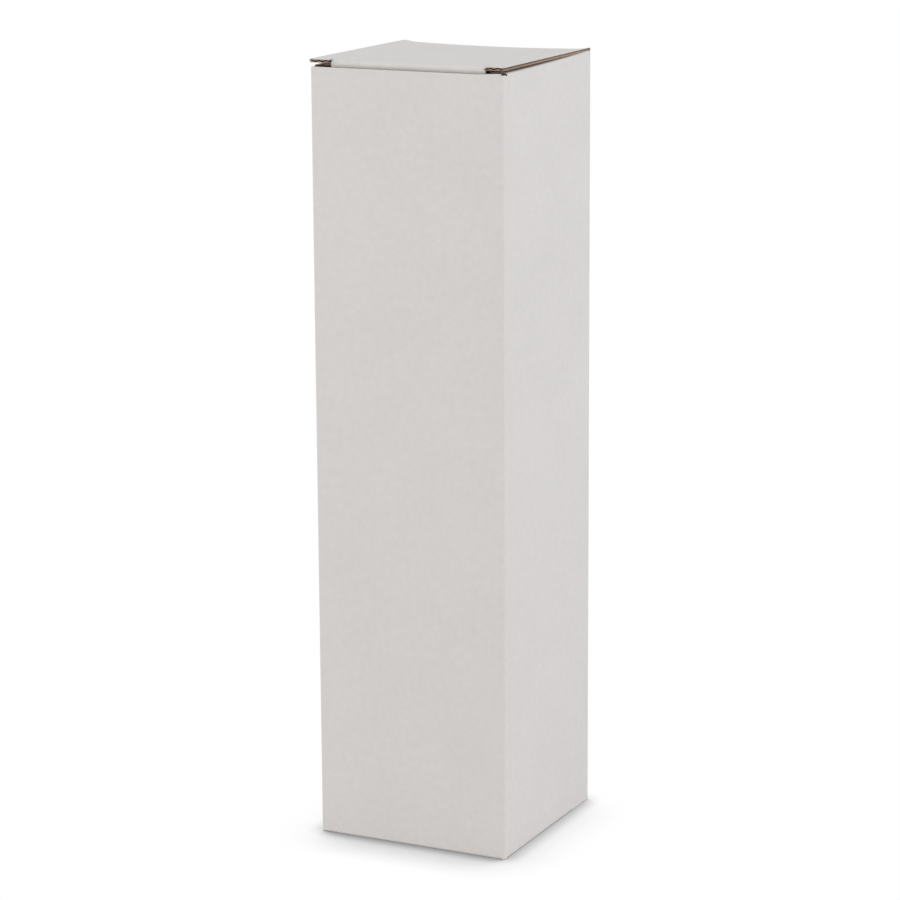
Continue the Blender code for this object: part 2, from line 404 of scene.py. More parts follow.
class Course:
    """The way that a board's outer face takes in a plane, through corners with round creases.

    A straight run keeps its heading. On a round of curvature k the heading turns by k q
    over a length q, so the place moves by ((sin(h + kq) - sin h) / k, (cos h - cos(h + kq)) / k).
    The board lies on the left of the heading.
    """

    def __init__(
        self,
        points: Outline,
        radii: Sequence[float],
        crushed: Sequence[float],
        eased: tuple[float, float] | None = None,
    ) -> None:
        """Lay out the runs and rounds.

        Args:
            points: Corners of the way, its two ends included.
            radii: Radius of the outer face at each inner corner.
            crushed: Thickness left at each inner corner, as a share of the board's.
            eased: Lengths over which the thickness comes back before and after a corner.
        """
        corners = np.array(points, float)
        steps = np.diff(corners, axis=0)
        headings = np.arctan2(steps[:, 1], steps[:, 0])
        turns = (np.diff(headings) + math.pi) % (2 * math.pi) - math.pi
        reach = np.array(radii) * np.tan(np.abs(turns) / 2)
        cut = np.concatenate([[0.0], reach, [0.0]])
        straights = np.linalg.norm(steps, axis=1) - cut[:-1] - cut[1:]
        rounds = np.array(radii) * np.abs(turns)

        self.corners = corners
        self.reach = reach
        self.crushed = np.array(crushed, float)
        self.eased = eased or (BOARD.crush_run, BOARD.crush_run)
        self.headings = np.repeat(headings, 2)[:-1]
        self.lengths = np.empty(2 * len(straights) - 1)
        self.lengths[0::2] = straights
        self.lengths[1::2] = rounds
        self.curvatures = np.zeros_like(self.lengths)
        self.curvatures[1::2] = turns / np.maximum(rounds, NEARLY_ZERO)
        self.starts = np.concatenate([[0.0], np.cumsum(self.lengths)])
        units = steps / np.linalg.norm(steps, axis=1)[:, None]
        self.places = np.empty((len(self.lengths), 2))
        self.places[0::2] = corners[:-1] + units * cut[:-1, None]
        self.places[1::2] = corners[1:-1] - units[:-1] * reach[:, None]

    @property
    def length(self) -> float:
        """Length of the whole way along the outer face."""
        return float(self.starts[-1])

    def at(self, s: Array) -> tuple[Array, Array, Array]:
        """Follow the way.

        Args:
            s: Lengths along the way, in an array of any shape.

        Returns:
            Place, inward normal and thickness share at each length.
        """
        run = np.clip(np.searchsorted(self.starts, s, side="right") - 1, 0, len(self.lengths) - 1)
        q = s - self.starts[run]
        heading, bend = self.headings[run], self.curvatures[run]
        straight = np.abs(bend) < NEARLY_ZERO
        safe = np.where(straight, 1.0, bend)
        ahead = heading + bend * q
        x = np.where(straight, q * np.cos(heading), (np.sin(ahead) - np.sin(heading)) / safe)
        y = np.where(straight, q * np.sin(heading), (np.cos(heading) - np.cos(ahead)) / safe)
        place = self.places[run] + np.stack([x, y], -1)
        normal = np.stack([-np.sin(ahead), np.cos(ahead)], -1)
        return place, normal, self._thickness(s)

    def _thickness(self, s: Array) -> Array:
        """Thickness at lengths s: crushed on a crease's round, eased back to 1 beside it.

        Args:
            s: Lengths along the way.

        Returns:
            The least share that any crease leaves at each length.
        """
        share = np.ones_like(s, dtype=float)
        before, after = self.eased
        for index, left in enumerate(self.crushed):
            low, high = self.round_ends(index + 1)
            away = np.maximum((low - s) / before, (s - high) / after)
            share = np.minimum(share, left + (1 - left) * ease(away))
        return share

    def round_ends(self, corner: int) -> tuple[float, float]:
        """Lengths s at which a corner's round starts and ends."""
        return float(self.starts[2 * corner - 1]), float(self.starts[2 * corner])

    def mark(self, corner: int, beyond: float) -> float:
        """Find a point by its distance from a sharp corner.

        Args:
            corner: Number of the corner, 0 for the way's start.
            beyond: Distance beyond the sharp corner, or before it if negative, at least
                the round's reach.

        Returns:
            Length s of that point.
        """
        if corner == 0:
            return beyond
        if corner == len(self.corners) - 1:
            return self.length + beyond
        low, high = self.round_ends(corner)
        reach = float(self.reach[corner - 1])
        return low + reach + beyond if beyond < 0 else high - reach + beyond

    def middle(self, corner: int) -> float:
        """Length s at the middle of a corner's round."""
        return sum(self.round_ends(corner)) / 2

    def where(self, axis: int, values: Array | float, samples: int = 4001) -> Array:
        """Find where the way comes to a value on one axis of its plane.

        Args:
            axis: 0 or 1. The way never runs back on it.
            values: The values to come to.
            samples: Number of even steps that the way is looked up at.

        Returns:
            Length s for each value.
        """
        s = np.linspace(0.0, self.length, samples)
        reached = np.maximum.accumulate(self.at(s)[0][:, axis])
        return np.interp(values, reached, s)

    def stations(self, low: float, high: float, fine: float = math.radians(9)) -> Array:
        """Choose the lengths at which a sheet needs a row.

        Args:
            low: Where the sheet starts.
            high: Where it ends.
            fine: Greatest turn between two rows on a round.

        Returns:
            Sorted lengths: the sheet's ends, each round in even steps, and rows where the
            thickness comes back beside it.
        """
        kept = [np.array([low, high])]
        for corner in range(1, len(self.corners) - 1):
            start, end = self.round_ends(corner)
            turn = abs(self.curvatures[2 * corner - 1]) * self.lengths[2 * corner - 1]
            kept.append(np.linspace(start, end, max(2, math.ceil(turn / fine)) + 1))
            kept += [start - self.eased[0] * EASED_ROWS, end + self.eased[1] * EASED_ROWS]
        rows = np.concatenate(kept)
        return np.unique(np.round(rows[(rows >= low) & (rows <= high)], ROW_DIGITS))


class Bent(Enum):
    """Which way a sheet bends."""

    ACROSS_FLUTES = "across"
    ALONG_FLUTES = "along"


@dataclass(frozen=True)
class Fold:
    """Carries a flat sheet to its place on the box.

    A point is origin + x first + y second + t drawn, where (x, y) is the course's place at
    its length s plus depth times the inward normal, and t is the other flat coordinate.
    """

    course: Course
    first: Direction
    second: Direction
    drawn: Direction
    bent: Bent
    origin: Place = (0.0, 0.0, 0.0)

    def __call__(self, u: Array, v: Array, depth: Array) -> Array:
        """Carry points of the flat sheet to the box.

        Args:
            u: Flat coordinate across the flutes.
            v: Flat coordinate along the flutes.
            depth: Distance below the board's outer face.

        Returns:
            The points' places, with x, y and z in the last axis.
        """
        s, t = (u, v) if self.bent is Bent.ACROSS_FLUTES else (v, u)
        place, inward, share = self.course.at(s)
        flat = place + (depth * share)[..., None] * inward
        return (
            np.array(self.origin)
            + flat[..., :1] * np.array(self.first)
            + flat[..., 1:] * np.array(self.second)
            + t[..., None] * np.array(self.drawn)
        )


# Sheets


HAIR = 0.01 * MM
COLUMN_DIGITS = 7
SHARP_EDGE = math.radians(32)


def linked(name: str, data: bpy.types.ID) -> bpy.types.Object:
    """Put new data into the scene.

    Args:
        name: Name of the object.
        data: Its mesh, camera or light.

    Returns:
        The object, at the origin.
    """
    made = bpy.data.objects.new(name, data)
    bpy.context.scene.collection.objects.link(made)
    return made


def rounded(points: Outline, radii: Sequence[float], steps: int = 8) -> Array:
    """Round the corners of a closed outline.

    The arc at a corner K has its centre at K + (a + b) r / sin(w) with a and b the unit
    vectors to the neighbours and w the angle between them, and touches both sides.

    Args:
        points: Corners of the outline.
        radii: Radius at each corner, 0 for a sharp one.
        steps: Steps of an arc.

    Returns:
        The outline as rows of (u, v).
    """
    corners = np.array(points, float)
    made = []
    for index, radius in enumerate(radii):
        corner = corners[index]
        if radius == 0:
            made.append(corner[None])
            continue
        back = corners[index - 1] - corner
        ahead = corners[(index + 1) % len(corners)] - corner
        back, ahead = back / np.linalg.norm(back), ahead / np.linalg.norm(ahead)
        angle = math.acos(float(np.clip(back @ ahead, -1, 1)))
        centre = corner + (back + ahead) * radius / math.sin(angle)
        first = corner + back * radius / math.tan(angle / 2) - centre
        last = corner + ahead * radius / math.tan(angle / 2) - centre
        share = np.linspace(0, 1, steps + 1)[:, None]
        turn = math.pi - angle
        spoke = (first * np.sin((1 - share) * turn) + last * np.sin(share * turn)) / math.sin(turn)
        made.append(centre + spoke)
    return np.concatenate(made)


def mirrored(half: Outline, radii: Sequence[float]) -> Array:
    """Complete and round an outline that is the same on both sides of u = 0.

    Args:
        half: Corners of its right half.
        radii: Radius at each of them.

    Returns:
        The whole outline as rows of (u, v).
    """
    other = [(-u, v) for u, v in half[::-1]]
    return rounded([*half, *other], [*radii, *radii[::-1]])


def columns(outline: Array, widest: float) -> tuple[Array, Array, Array]:
    """Cut a flat outline into columns across the flutes.

    At each u, low and high are the least and greatest v at which an edge crosses the line
    of that u: v = v0 + (v1 - v0) (u - u0) / (u1 - u0). A step gets a column on each side.

    Args:
        outline: Corners of the sheet as rows of (u, v).
        widest: Greatest space between columns.

    Returns:
        u, low and high of each column.
    """
    first, last = outline, np.roll(outline, -1, axis=0)
    corners = np.unique(np.round(outline[:, 0], COLUMN_DIGITS))
    left, right = corners[0], corners[-1]
    even = np.arange(math.floor(left / widest), math.ceil(right / widest) + 1) * widest
    u = np.unique(np.concatenate([corners - HAIR, corners + HAIR, even]))
    u = u[(u > left + HAIR / 2) & (u < right - HAIR / 2)]
    with np.errstate(divide="ignore", invalid="ignore"):
        share = (u[:, None] - first[:, 0]) / (last[:, 0] - first[:, 0])
        level = first[:, 1] + share * (last[:, 1] - first[:, 1])
    crossed = (share >= 0) & (share <= 1)
    low = np.where(crossed, level, np.inf).min(axis=1)
    high = np.where(crossed, level, -np.inf).max(axis=1)
    u[0], u[-1] = left, right
    return u, low, high


def shell(outer: Array, inner: Array) -> tuple[Array, Array, Array]:
    """Close a sheet between two grids of points.

    The sign of its volume, the sum of (a x b) . c + (a x c) . d over its quads, tells
    whether the quads have to be turned to face outwards.

    Args:
        outer: Points of the outer face, as rows by columns by 3.
        inner: Points of the inner face, in the same order.

    Returns:
        Points, quads of point numbers, and for each quad 0 on the outer face, 1 on the
        inner face and 2 on the rim.
    """
    rows, width = outer.shape[:2]
    count = rows * width
    number = np.arange(count).reshape(rows, width)
    corners = (number[:-1, :-1], number[1:, :-1], number[1:, 1:], number[:-1, 1:])
    face = np.stack(corners, -1).reshape(-1, 4)
    ring = np.concatenate([number[:-1, 0], number[-1, :-1], number[:0:-1, -1], number[0, :0:-1]])
    after = np.roll(ring, -1)
    rim = np.stack([after, ring, ring + count, after + count], -1)
    quads = np.concatenate([face, face[:, ::-1] + count, rim])
    kinds = np.repeat([0, 1, 2], [len(face), len(face), len(rim)])
    points = np.concatenate([outer.reshape(-1, 3), inner.reshape(-1, 3)])
    a, b, c, d = (points[quads[:, index]] for index in range(4))
    volume = (np.cross(a, b) * c).sum() + (np.cross(a, c) * d).sum()
    return points, quads if volume > 0 else quads[:, ::-1], kinds


@dataclass
class Sheet:
    """One cut and folded board, ready to be made.

    Attributes:
        name: Name of the piece.
        outline: Corners of the flat sheet as rows of (u, v).
        fold: What carries it to the box.
        rows: Values of v that get a row.
        shaped: Shift of the folded points.
    """

    name: str
    outline: Array
    fold: Fold
    rows: Array
    shaped: Callable[[Array], Array] = np.copy

    def _ply(self, ply: Ply) -> tuple[Array, Array, Array, Array]:
        """Fold one ply.

        The grid's place (i, j) is u_i and v_ij = clip(row_j, low_i, high_i).

        Args:
            ply: The ply.

        Returns:
            Its points, quads, face kinds and the points' flat coordinates.
        """
        u, low, high = self._columns(ply.column)
        v = np.clip(self.rows[None, :], low[:, None], high[:, None])
        across = np.broadcast_to(u[:, None], v.shape)
        outer, inner = ply.depths(across)
        faces = [self.shaped(self.fold(across, v, depth)) for depth in (outer, inner)]
        points, quads, kinds = shell(*faces)
        flat = np.stack([across, v, outer], -1).reshape(-1, 3)
        return points, quads, kinds, np.concatenate([flat, flat])

    def _columns(self, widest: float) -> tuple[Array, Array, Array]:
        """u, low and high of each column, at most this far apart."""
        return columns(self.outline, widest)

    def make(self, slot: Slot = Slot.WHITE_BOARD) -> bpy.types.Object:
        """Build the sheet's object, with its place in its mesh.

        Args:
            slot: The record's material slot. Not used.

        Returns:
            The object, which still has to ride on a body.
        """
        points, quads, kinds, flats, finishes = [], [], [], [], []
        start = 0
        for ply in BOARD.plies:
            place, face, kind, flat = self._ply(ply)
            used = (ply.outer_finish, ply.inner_finish, ply.cut_finish)
            finishes += [paper for paper in used if paper not in finishes]
            numbers = np.array([finishes.index(paper) for paper in used])
            points.append(place)
            quads.append(face + start)
            kinds.append(numbers[kind])
            flats.append(flat)
            start += len(place)
        mesh = bpy.data.meshes.new(self.name)
        mesh.from_pydata(np.concatenate(points), [], np.concatenate(quads))
        blank = mesh.attributes.new("blank", "FLOAT_VECTOR", "POINT")
        blank.data.foreach_set("vector", np.concatenate(flats).astype(np.float32).ravel())
        mesh.polygons.foreach_set("material_index", np.concatenate(kinds).astype(np.int32))
        for paper in finishes:
            mesh.materials.append(paper.material())
        self._close(mesh)
        made = linked(self.name, mesh)
        log.info("%s: %d faces", self.name, len(mesh.polygons))
        return made

    @staticmethod
    def _close(mesh: bpy.types.Mesh) -> None:
        """Merge the rows that meet at a cut end, and smooth all but the sharp edges.

        Args:
            mesh: The sheet's mesh, which is changed.
        """
        work = bmesh.new()
        work.from_mesh(mesh)
        bmesh.ops.remove_doubles(work, verts=work.verts, dist=HAIR / 10)
        work.to_mesh(mesh)
        work.free()
        mesh.polygons.foreach_set("use_smooth", np.ones(len(mesh.polygons), bool))
        mesh.set_sharp_from_angle(angle=SHARP_EDGE)


# Sizes of the carton


@dataclass(frozen=True)
class Carton:
    """Sizes that every sub-assembly shares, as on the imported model.

    Attributes:
        half: Half the width and depth over the walls.
        wall_top: Height of the front wall.
        layer: Distance from one board's face to the next one's.
        crease_radius: Outer radius of every crease.
        root: Half the width of the bottom's back flap, clear of the side walls.
        crease_root: Half the width of a bottom crease.
        corner_reach: Distance from a sharp corner to the cut between two walls.
        base_join: Height at which the walls pass into the bottom's creases.
        foot: Height of the walls' lower edge between the creases.
        side_flap_rear: Rear end of the bottom's side flaps.
        top_join: Distance from a sharp upper corner to the end of its crease.
        dust_front: Front end of the side walls' upper creases.
        dust_rear: Rear end of the side walls' upper creases.
    """

    half: float = 45.0 * MM
    wall_top: float = 340.0 * MM
    layer: float = 1.8 * MM
    crease_radius: float = 1.0 * MM
    root: float = 42.9 * MM
    crease_root: float = 43.45 * MM
    corner_reach: float = 1.1 * MM
    base_join: float = 1.6 * MM
    foot: float = 0.25 * MM
    side_flap_rear: float = 26.8 * MM
    top_join: float = 2.5 * MM
    dust_front: float = -41.2 * MM
    dust_rear: float = 43.2 * MM

    @property
    def side_top(self) -> float:
        """Height of the dust flaps' outer face, over the side walls."""
        return self.wall_top + BOARD.thickness

    @property
    def lid_top(self) -> float:
        """Height of the lid's outer face."""
        return self.side_top + self.layer

    @property
    def back_join(self) -> float:
        """Height at which the back wall meets the lid's crease."""
        return self.lid_top - self.top_join

    @property
    def side_join(self) -> float:
        """Height at which a side wall meets its dust flap's crease."""
        return self.side_top - self.top_join


CARTON = Carton()


@dataclass(frozen=True)
class Settling:
    """How the carton has settled out of true: shifts down of every point near its top.

    A span runs from where a shift starts to where it is whole, and every shift fades in
    with the height. The rear crease sinks by drop (1 - hold c) + sag (1 - (x / half)^2),
    where c runs from 0 to 1 over the last stretch to a side wall. The front right corner
    of the walls stands up by corner_rise. The side walls' upper creases sink by side_drop
    s (2 - s), where s runs from 0 near the rear to 1 at their front end, and rise by
    rear_lift at the very rear, to meet the crushed lid.
    """

    fade_span: Span = (300 * MM, 339 * MM)
    drop: float = 0.7 * MM
    drop_span: Span = (31 * MM, 45 * MM)
    hold: float = 0.85
    hold_span: Span = (40 * MM, 45 * MM)
    sag: float = 0.85 * MM
    sag_span: Span = (8 * MM, 45 * MM)
    corner_rise: float = 0.5 * MM
    corner_across: Span = (34 * MM, 42 * MM)
    corner_ahead: Span = (-42 * MM, -43.4 * MM)
    side_drop: float = 0.85 * MM
    side_span: Span = (24 * MM, -40 * MM)
    rear_lift: float = 0.85 * MM
    lift_span: Span = (24 * MM, 44 * MM)

    def _rear(self, points: Array) -> Array:
        """How far each point sinks with the rear crease, at the full height.

        Args:
            points: Places, with x, y and z in the last axis.

        Returns:
            One depth for each point.
        """
        x, y = np.abs(points[..., 0]), points[..., 1]
        middle = 1 - along(x, 0, CARTON.half) ** 2
        held = self.hold * along(x, *self.hold_span)
        dropped = self.drop * (1 - held) * ease(along(y, *self.drop_span))
        return dropped + self.sag * middle * ease(along(y, *self.sag_span))

    def _corner(self, points: Array) -> Array:
        """How far each point rises with the walls' front right corner, at the full height.

        Args:
            points: Places, with x, y and z in the last axis.

        Returns:
            One height for each point.
        """
        across = along(points[..., 0], *self.corner_across)
        ahead = along(points[..., 1], *self.corner_ahead)
        return self.corner_rise * ease(across) * ease(ahead)

    def _side(self, points: Array) -> Array:
        """How far each point sinks with a side wall's crease, at the full height.

        Args:
            points: Places, with x, y and z in the last axis.

        Returns:
            One depth for each point.
        """
        y = points[..., 1]
        share = along(y, *self.side_span)
        sunk = self.side_drop * share * (2 - share) * (y > CARTON.dust_front)
        return sunk - self.rear_lift * ease(along(y, *self.lift_span))

    def _sunk(self, points: Array, depth: Array) -> Array:
        """Move points down.

        Args:
            points: Places, with x, y and z in the last axis.
            depth: How far each one sinks at the full height.

        Returns:
            The points' new places.
        """
        moved = points.copy()
        moved[..., 2] -= depth * ease(along(points[..., 2], *self.fade_span))
        return moved

    def lid(self, points: Array) -> Array:
        """Points of the lid and its flap, moved with the rear crease."""
        return self._sunk(points, self._rear(points))

    def walls(self, points: Array) -> Array:
        """Points of the front and back wall, moved with the rear crease and the corner."""
        return self._sunk(points, self._rear(points) - self._corner(points))

    def sides(self, points: Array) -> Array:
        """Points of the side walls and dust flaps, moved with their own creases as well."""
        return self._sunk(points, self._rear(points) - self._corner(points) + self._side(points))


SETTLING = Settling()


# Sub-assemblies


@dataclass
class Sleeve:
    """The four walls and the glue flap, wrapped round from the left wall's rear edge.

    u is the length round the outside: left, front, right and back wall, then the glue
    flap inside the left wall. v is the height.
    """

    relief_depth: float = 0.6 * MM
    rear_corner: float = 341.3 * MM
    glue_width: float = 25 * MM
    glue_foot: float = 12 * MM
    glue_top: float = 331 * MM
    glue_taper: float = 6 * MM

    @cached_property
    def heights(self) -> Array:
        """Heights of the walls' rows, closer together where the top has settled."""
        return np.array([0.0, 60, 120, 180, 240, 300, 310, 320, 330, 336, 338, 340, 345]) * MM

    @cached_property
    def course(self) -> Course:
        """Way of the outer face, seen from above.

        Returns:
            The course, whose corners 1 to 4 are the front left, front right, rear right
            and rear left one, where the glue flap starts.
        """
        half, inner = CARTON.half, CARTON.half - CARTON.layer
        tip = half - self.glue_width
        outside = [(-half, half), (-half, -half), (half, -half), (half, half)]
        points = [*outside, (-inner, half), (-inner, tip)]
        return Course(points, [CARTON.crease_radius] * 4, [BOARD.crushed] * 4)

    def _bottom_edge(self) -> list[Point]:
        """The lower edge from left to right, raised where a bottom flap is joined on.

        Returns:
            Corners as (u, v).
        """
        way, box = self.course, CARTON
        root, flap_end = box.half - box.crease_root, box.half - box.side_flap_rear
        edge = [(0.0, box.foot), (flap_end, box.foot), (flap_end, box.base_join)]
        for corner, before in ((1, root), (2, root), (3, flap_end), (4, root)):
            edge += [(way.mark(corner, -before), level) for level in (box.base_join, box.foot)]
            if corner < 4:
                edge += [(way.mark(corner, root), level) for level in (box.foot, box.base_join)]
        return edge

    def _glue_edge(self) -> list[Point]:
        """The glue flap's edge, upwards, and the back wall's top.

        Returns:
            Corners as (u, v).
        """
        way, box = self.course, CARTON
        end, seam, rear = way.length, way.middle(4), way.middle(3)
        return [
            (seam, box.foot),
            (seam, self.glue_foot),
            (end, self.glue_foot + self.glue_taper),
            (end, self.glue_top - self.glue_taper),
            (seam, self.glue_top),
            (seam, box.back_join),
            (rear, box.back_join),
            (rear, self.rear_corner),
        ]

    def _top_edge(self) -> list[Point]:
        """The upper edge of the right, front and left wall, from right to left.

        Returns:
            Corners as (u, v), with a small relief notch in front of each dust flap.
        """
        way, box = self.course, CARTON
        notch = box.wall_top - self.relief_depth
        front_end, rear_end = box.half + box.dust_front, box.half + box.dust_rear
        side = [
            (front_end, notch),
            (front_end, box.side_join),
            (rear_end, box.side_join),
            (rear_end, self.rear_corner),
        ]
        right = [(way.mark(2, away), level) for away, level in side[::-1]]
        right_corner = [
            (way.mark(2, -box.crease_radius), notch),
            (way.mark(2, -box.corner_reach), box.wall_top),
        ]
        left_corner = [(way.middle(1), box.wall_top), (way.middle(1), notch)]
        left = [(way.mark(1, -away), level) for away, level in side]
        return [*right, *right_corner, *left_corner, *left, (0.0, self.rear_corner)]

    def make(self) -> None:
        """Build each wall as its own piece, between cuts in the flat of the walls."""
        way, reach = self.course, CARTON.corner_reach
        outline = np.array(self._bottom_edge() + self._glue_edge() + self._top_edge())
        fold = Fold(way, (1, 0, 0), (0, 1, 0), (0, 0, 1), Bent.ACROSS_FLUTES)
        cuts = {
            "left_wall": ("left_panel", 0.0, way.mark(1, reach)),
            "front_wall": ("front_panel", way.mark(1, reach), way.mark(2, -reach)),
            "right_wall": ("right_panel", way.mark(2, -reach), way.mark(3, reach)),
            "back_wall": ("back_panel", way.mark(3, reach), way.mark(4, -reach)),
            "glue_flap_board": ("glue_flap", way.mark(4, -reach), way.length),
        }
        for name, (node, low, high) in cuts.items():
            shaped = SETTLING.sides if node in ("left_panel", "right_panel") else SETTLING.walls
            sheet = WrappedSheet(name, outline, fold, self.heights, shaped, low, high)
            piece = sheet.make(Slot.BROWN_BOARD if node == "glue_flap" else Slot.WHITE_BOARD)
            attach(piece, "box")
            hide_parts(node)


@dataclass
class WrappedSheet(Sheet):
    """A sheet that bends across the flutes, cut from a longer one between two lengths."""

    start: float = 0.0
    end: float = 0.0

    def _columns(self, widest: float) -> tuple[Array, Array, Array]:
        """Columns of the longer sheet and of the course's rounds, and one on each cut.

        Args:
            widest: Greatest space between columns.

        Returns:
            u, low and high of each column.
        """
        u, low, high = columns(self.outline, widest)
        every = np.concatenate([u, self.fold.course.stations(self.start, self.end)])
        every = np.unique(every[(every > self.start + HAIR) & (every < self.end - HAIR)])
        every = every[np.diff(every, prepend=0.0) > HAIR / 2]
        every = np.concatenate([[self.start], every, [self.end]])
        return every, np.interp(every, u, low), np.interp(every, u, high)


@dataclass
class SnapLockBottom:
    """The four bottom flaps, each with the crease that joins it to its wall.

    Seen from the side, each flap runs in flat, climbs a slope over the flaps below it and
    goes on flat. The front flap's tongue climbs past the side flaps and through the back
    flap's notch, and lies on the back flap.
    """

    edge_gap: float = 0.6 * MM
    root_run: float = 2.0 * MM
    slope: float = math.radians(13)
    bend_radius: float = 4.0 * MM
    tongue_slope: float = math.radians(17)
    tongue_start: float = -12.0 * MM
    tongue_grip: float = 18.0 * MM
    tongue_half: float = 21.0 * MM
    tongue_step: float = 0.3 * MM
    tongue_taper: float = 10.0 * MM
    tongue_round: float = 5.0 * MM
    clearance: float = 2.0 * MM
    lobe_gap: float = 20.0 * MM
    lobe_setback: float = 14.0 * MM
    flap_round: float = 4.0 * MM
    ear_overlap: float = 5.0 * MM

    def _course(self, stops: Outline) -> Course:
        """Lay out a flap's underside, down the wall, round the crease and inwards.

        Args:
            stops: Its corners inside the box, as (distance from the wall, height).

        Returns:
            The course, crushed on the crease alone.
        """
        points = [(0.0, CARTON.base_join), (0.0, 0.0), *stops]
        bends = len(points) - 3
        radii = [CARTON.crease_radius] + [self.bend_radius] * bends
        return Course(points, radii, [BOARD.crushed] + [1.0] * bends)

    def _make(
        self,
        name: str,
        node: str,
        course: Course,
        outline: Array,
        inward: Direction,
        drawn: Direction,
    ) -> None:
        """Build one flap.

        Args:
            name: Name of the piece.
            node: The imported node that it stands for.
            course: Way of its underside.
            outline: Its corners as (place along the wall, distance from the wall).
            inward: Direction from the wall into the box.
            drawn: Direction along the wall.
        """
        outline = outline.copy()
        outline[:, 1] = np.where(outline[:, 1] <= 0, 0.0, course.where(0, outline[:, 1]))
        origin = tuple(-CARTON.half * np.array(inward, float))
        fold = Fold(course, inward, (0, 0, 1), drawn, Bent.ALONG_FLUTES, origin)
        piece = Sheet(name, outline, fold, course.stations(0.0, course.length)).make()
        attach(piece, "box")
        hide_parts(node)

    def make(self) -> None:
        """Build the four flaps, outermost first."""
        self._front()
        self._sides()
        self._back()

    @property
    def side_rise(self) -> float:
        """Distance from the side wall at which a side flap has risen by one layer."""
        return self.root_run + CARTON.layer / math.tan(self.slope)

    @property
    def back_rise(self) -> float:
        """Distance from the back wall at which the back flap has risen by two layers."""
        return self.root_run + 2 * CARTON.layer / math.tan(self.slope)

    @property
    def ramp_end(self) -> float:
        """Place y at which the tongue has risen by three layers."""
        return self.tongue_start + 3 * CARTON.layer / math.tan(self.tongue_slope)

    def _front(self) -> None:
        """The outermost flap: flat below, its tongue climbs through the notch."""
        box = CARTON
        tip = box.half + self.ramp_end + self.tongue_grip
        top = 3 * box.layer
        start = box.half + self.tongue_start
        stops = [(start, 0.0), (box.half + self.ramp_end, top), (tip, top)]
        side = box.half - self.side_rise - self.edge_gap
        half = [
            (box.crease_root, 0.0),
            (box.crease_root, box.half - box.crease_root - self.edge_gap),
            (side, box.half - side - self.edge_gap),
            (side, start - self.tongue_taper),
            (self.tongue_half, start - self.tongue_step),
            (self.tongue_half, tip),
        ]
        outline = mirrored(half, [0, 0, 0, 0, 0, self.tongue_round])
        course = self._course(stops)
        self._make("front_flap_board", "front_bottom_flap", course, outline, (0, 1, 0), (1, 0, 0))

    def _sides(self) -> None:
        """The two flaps in the middle of the lock."""
        box = CARTON
        tip = self.lobe_gap / 2
        stops = [(self.root_run, 0.0), (self.side_rise, box.layer), (box.half - tip, box.layer)]
        neck = self.tongue_half + self.clearance
        front = self.lobe_setback - box.half
        lobe_rear = self.tongue_start - self.clearance
        corners = [
            (-box.crease_root, 0.0),
            (-box.crease_root, box.half - box.crease_root - self.edge_gap),
            (front, box.half + front - self.edge_gap),
            (front, box.half - tip),
            (lobe_rear - self.flap_round, box.half - tip),
            (lobe_rear, box.half - neck),
            (box.side_flap_rear, box.half - neck),
            (box.side_flap_rear, 0.0),
        ]
        outline = rounded(corners, [0, 0, 0, self.flap_round, 0, 0, self.flap_round, 0])
        for label, side in (("left", -1), ("right", 1)):
            name, node = f"{label}_flap_board", f"{label}_bottom_flap"
            self._make(name, node, self._course(stops), outline, (-side, 0, 0), (0, 1, 0))

    def _back(self) -> None:
        """The innermost flap, with the notch for the tongue."""
        box = CARTON
        reach = box.half + self.ear_overlap
        stops = [(self.root_run, 0.0), (self.back_rise, 2 * box.layer), (reach, 2 * box.layer)]
        notch = self.tongue_half + self.clearance
        half = [
            (notch, box.half - self.ramp_end - self.clearance),
            (notch, reach),
            (box.root, reach),
            (box.root, box.half - box.root - self.edge_gap),
            (box.crease_root, box.half - box.crease_root - self.edge_gap),
            (box.crease_root, 0.0),
        ]
        outline = mirrored(half, [0, self.flap_round, self.flap_round, 0, 0, 0])
        course = self._course(stops)
        self._make("back_flap_board", "back_bottom_flap", course, outline, (0, -1, 0), (1, 0, 0))


@dataclass(frozen=True)
class Bend:
    """A narrow band across a crease's round.

    It is a narrow band from start to start + reach (inward cos slope + up sin slope). The slope keeps
    it on the round where the crease has settled. The crease gets close rows there.
    """

    reach: float
    slope: float
    rows: int = 7

    def end(self, start: Array, inward: Direction) -> Array:
        """The band's far end, from its start and the level direction into the box."""
        way = math.cos(self.slope) * np.array(inward) + np.array([0, 0, math.sin(self.slope)])
        return start + self.reach * way

    def stations(self, course: Course, end: float) -> Array:
        """Choose the rows of a crease that bends.

        Args:
            course: The crease's course, which bends at its first corner.
            end: Length at which the crease passes into its flap.

        Returns:
            The course's own rows, and even ones from its round to its end.
        """
        close = np.linspace(course.mark(1, CARTON.crease_radius), end, self.rows)
        return np.union1d(course.stations(0.0, end), close)


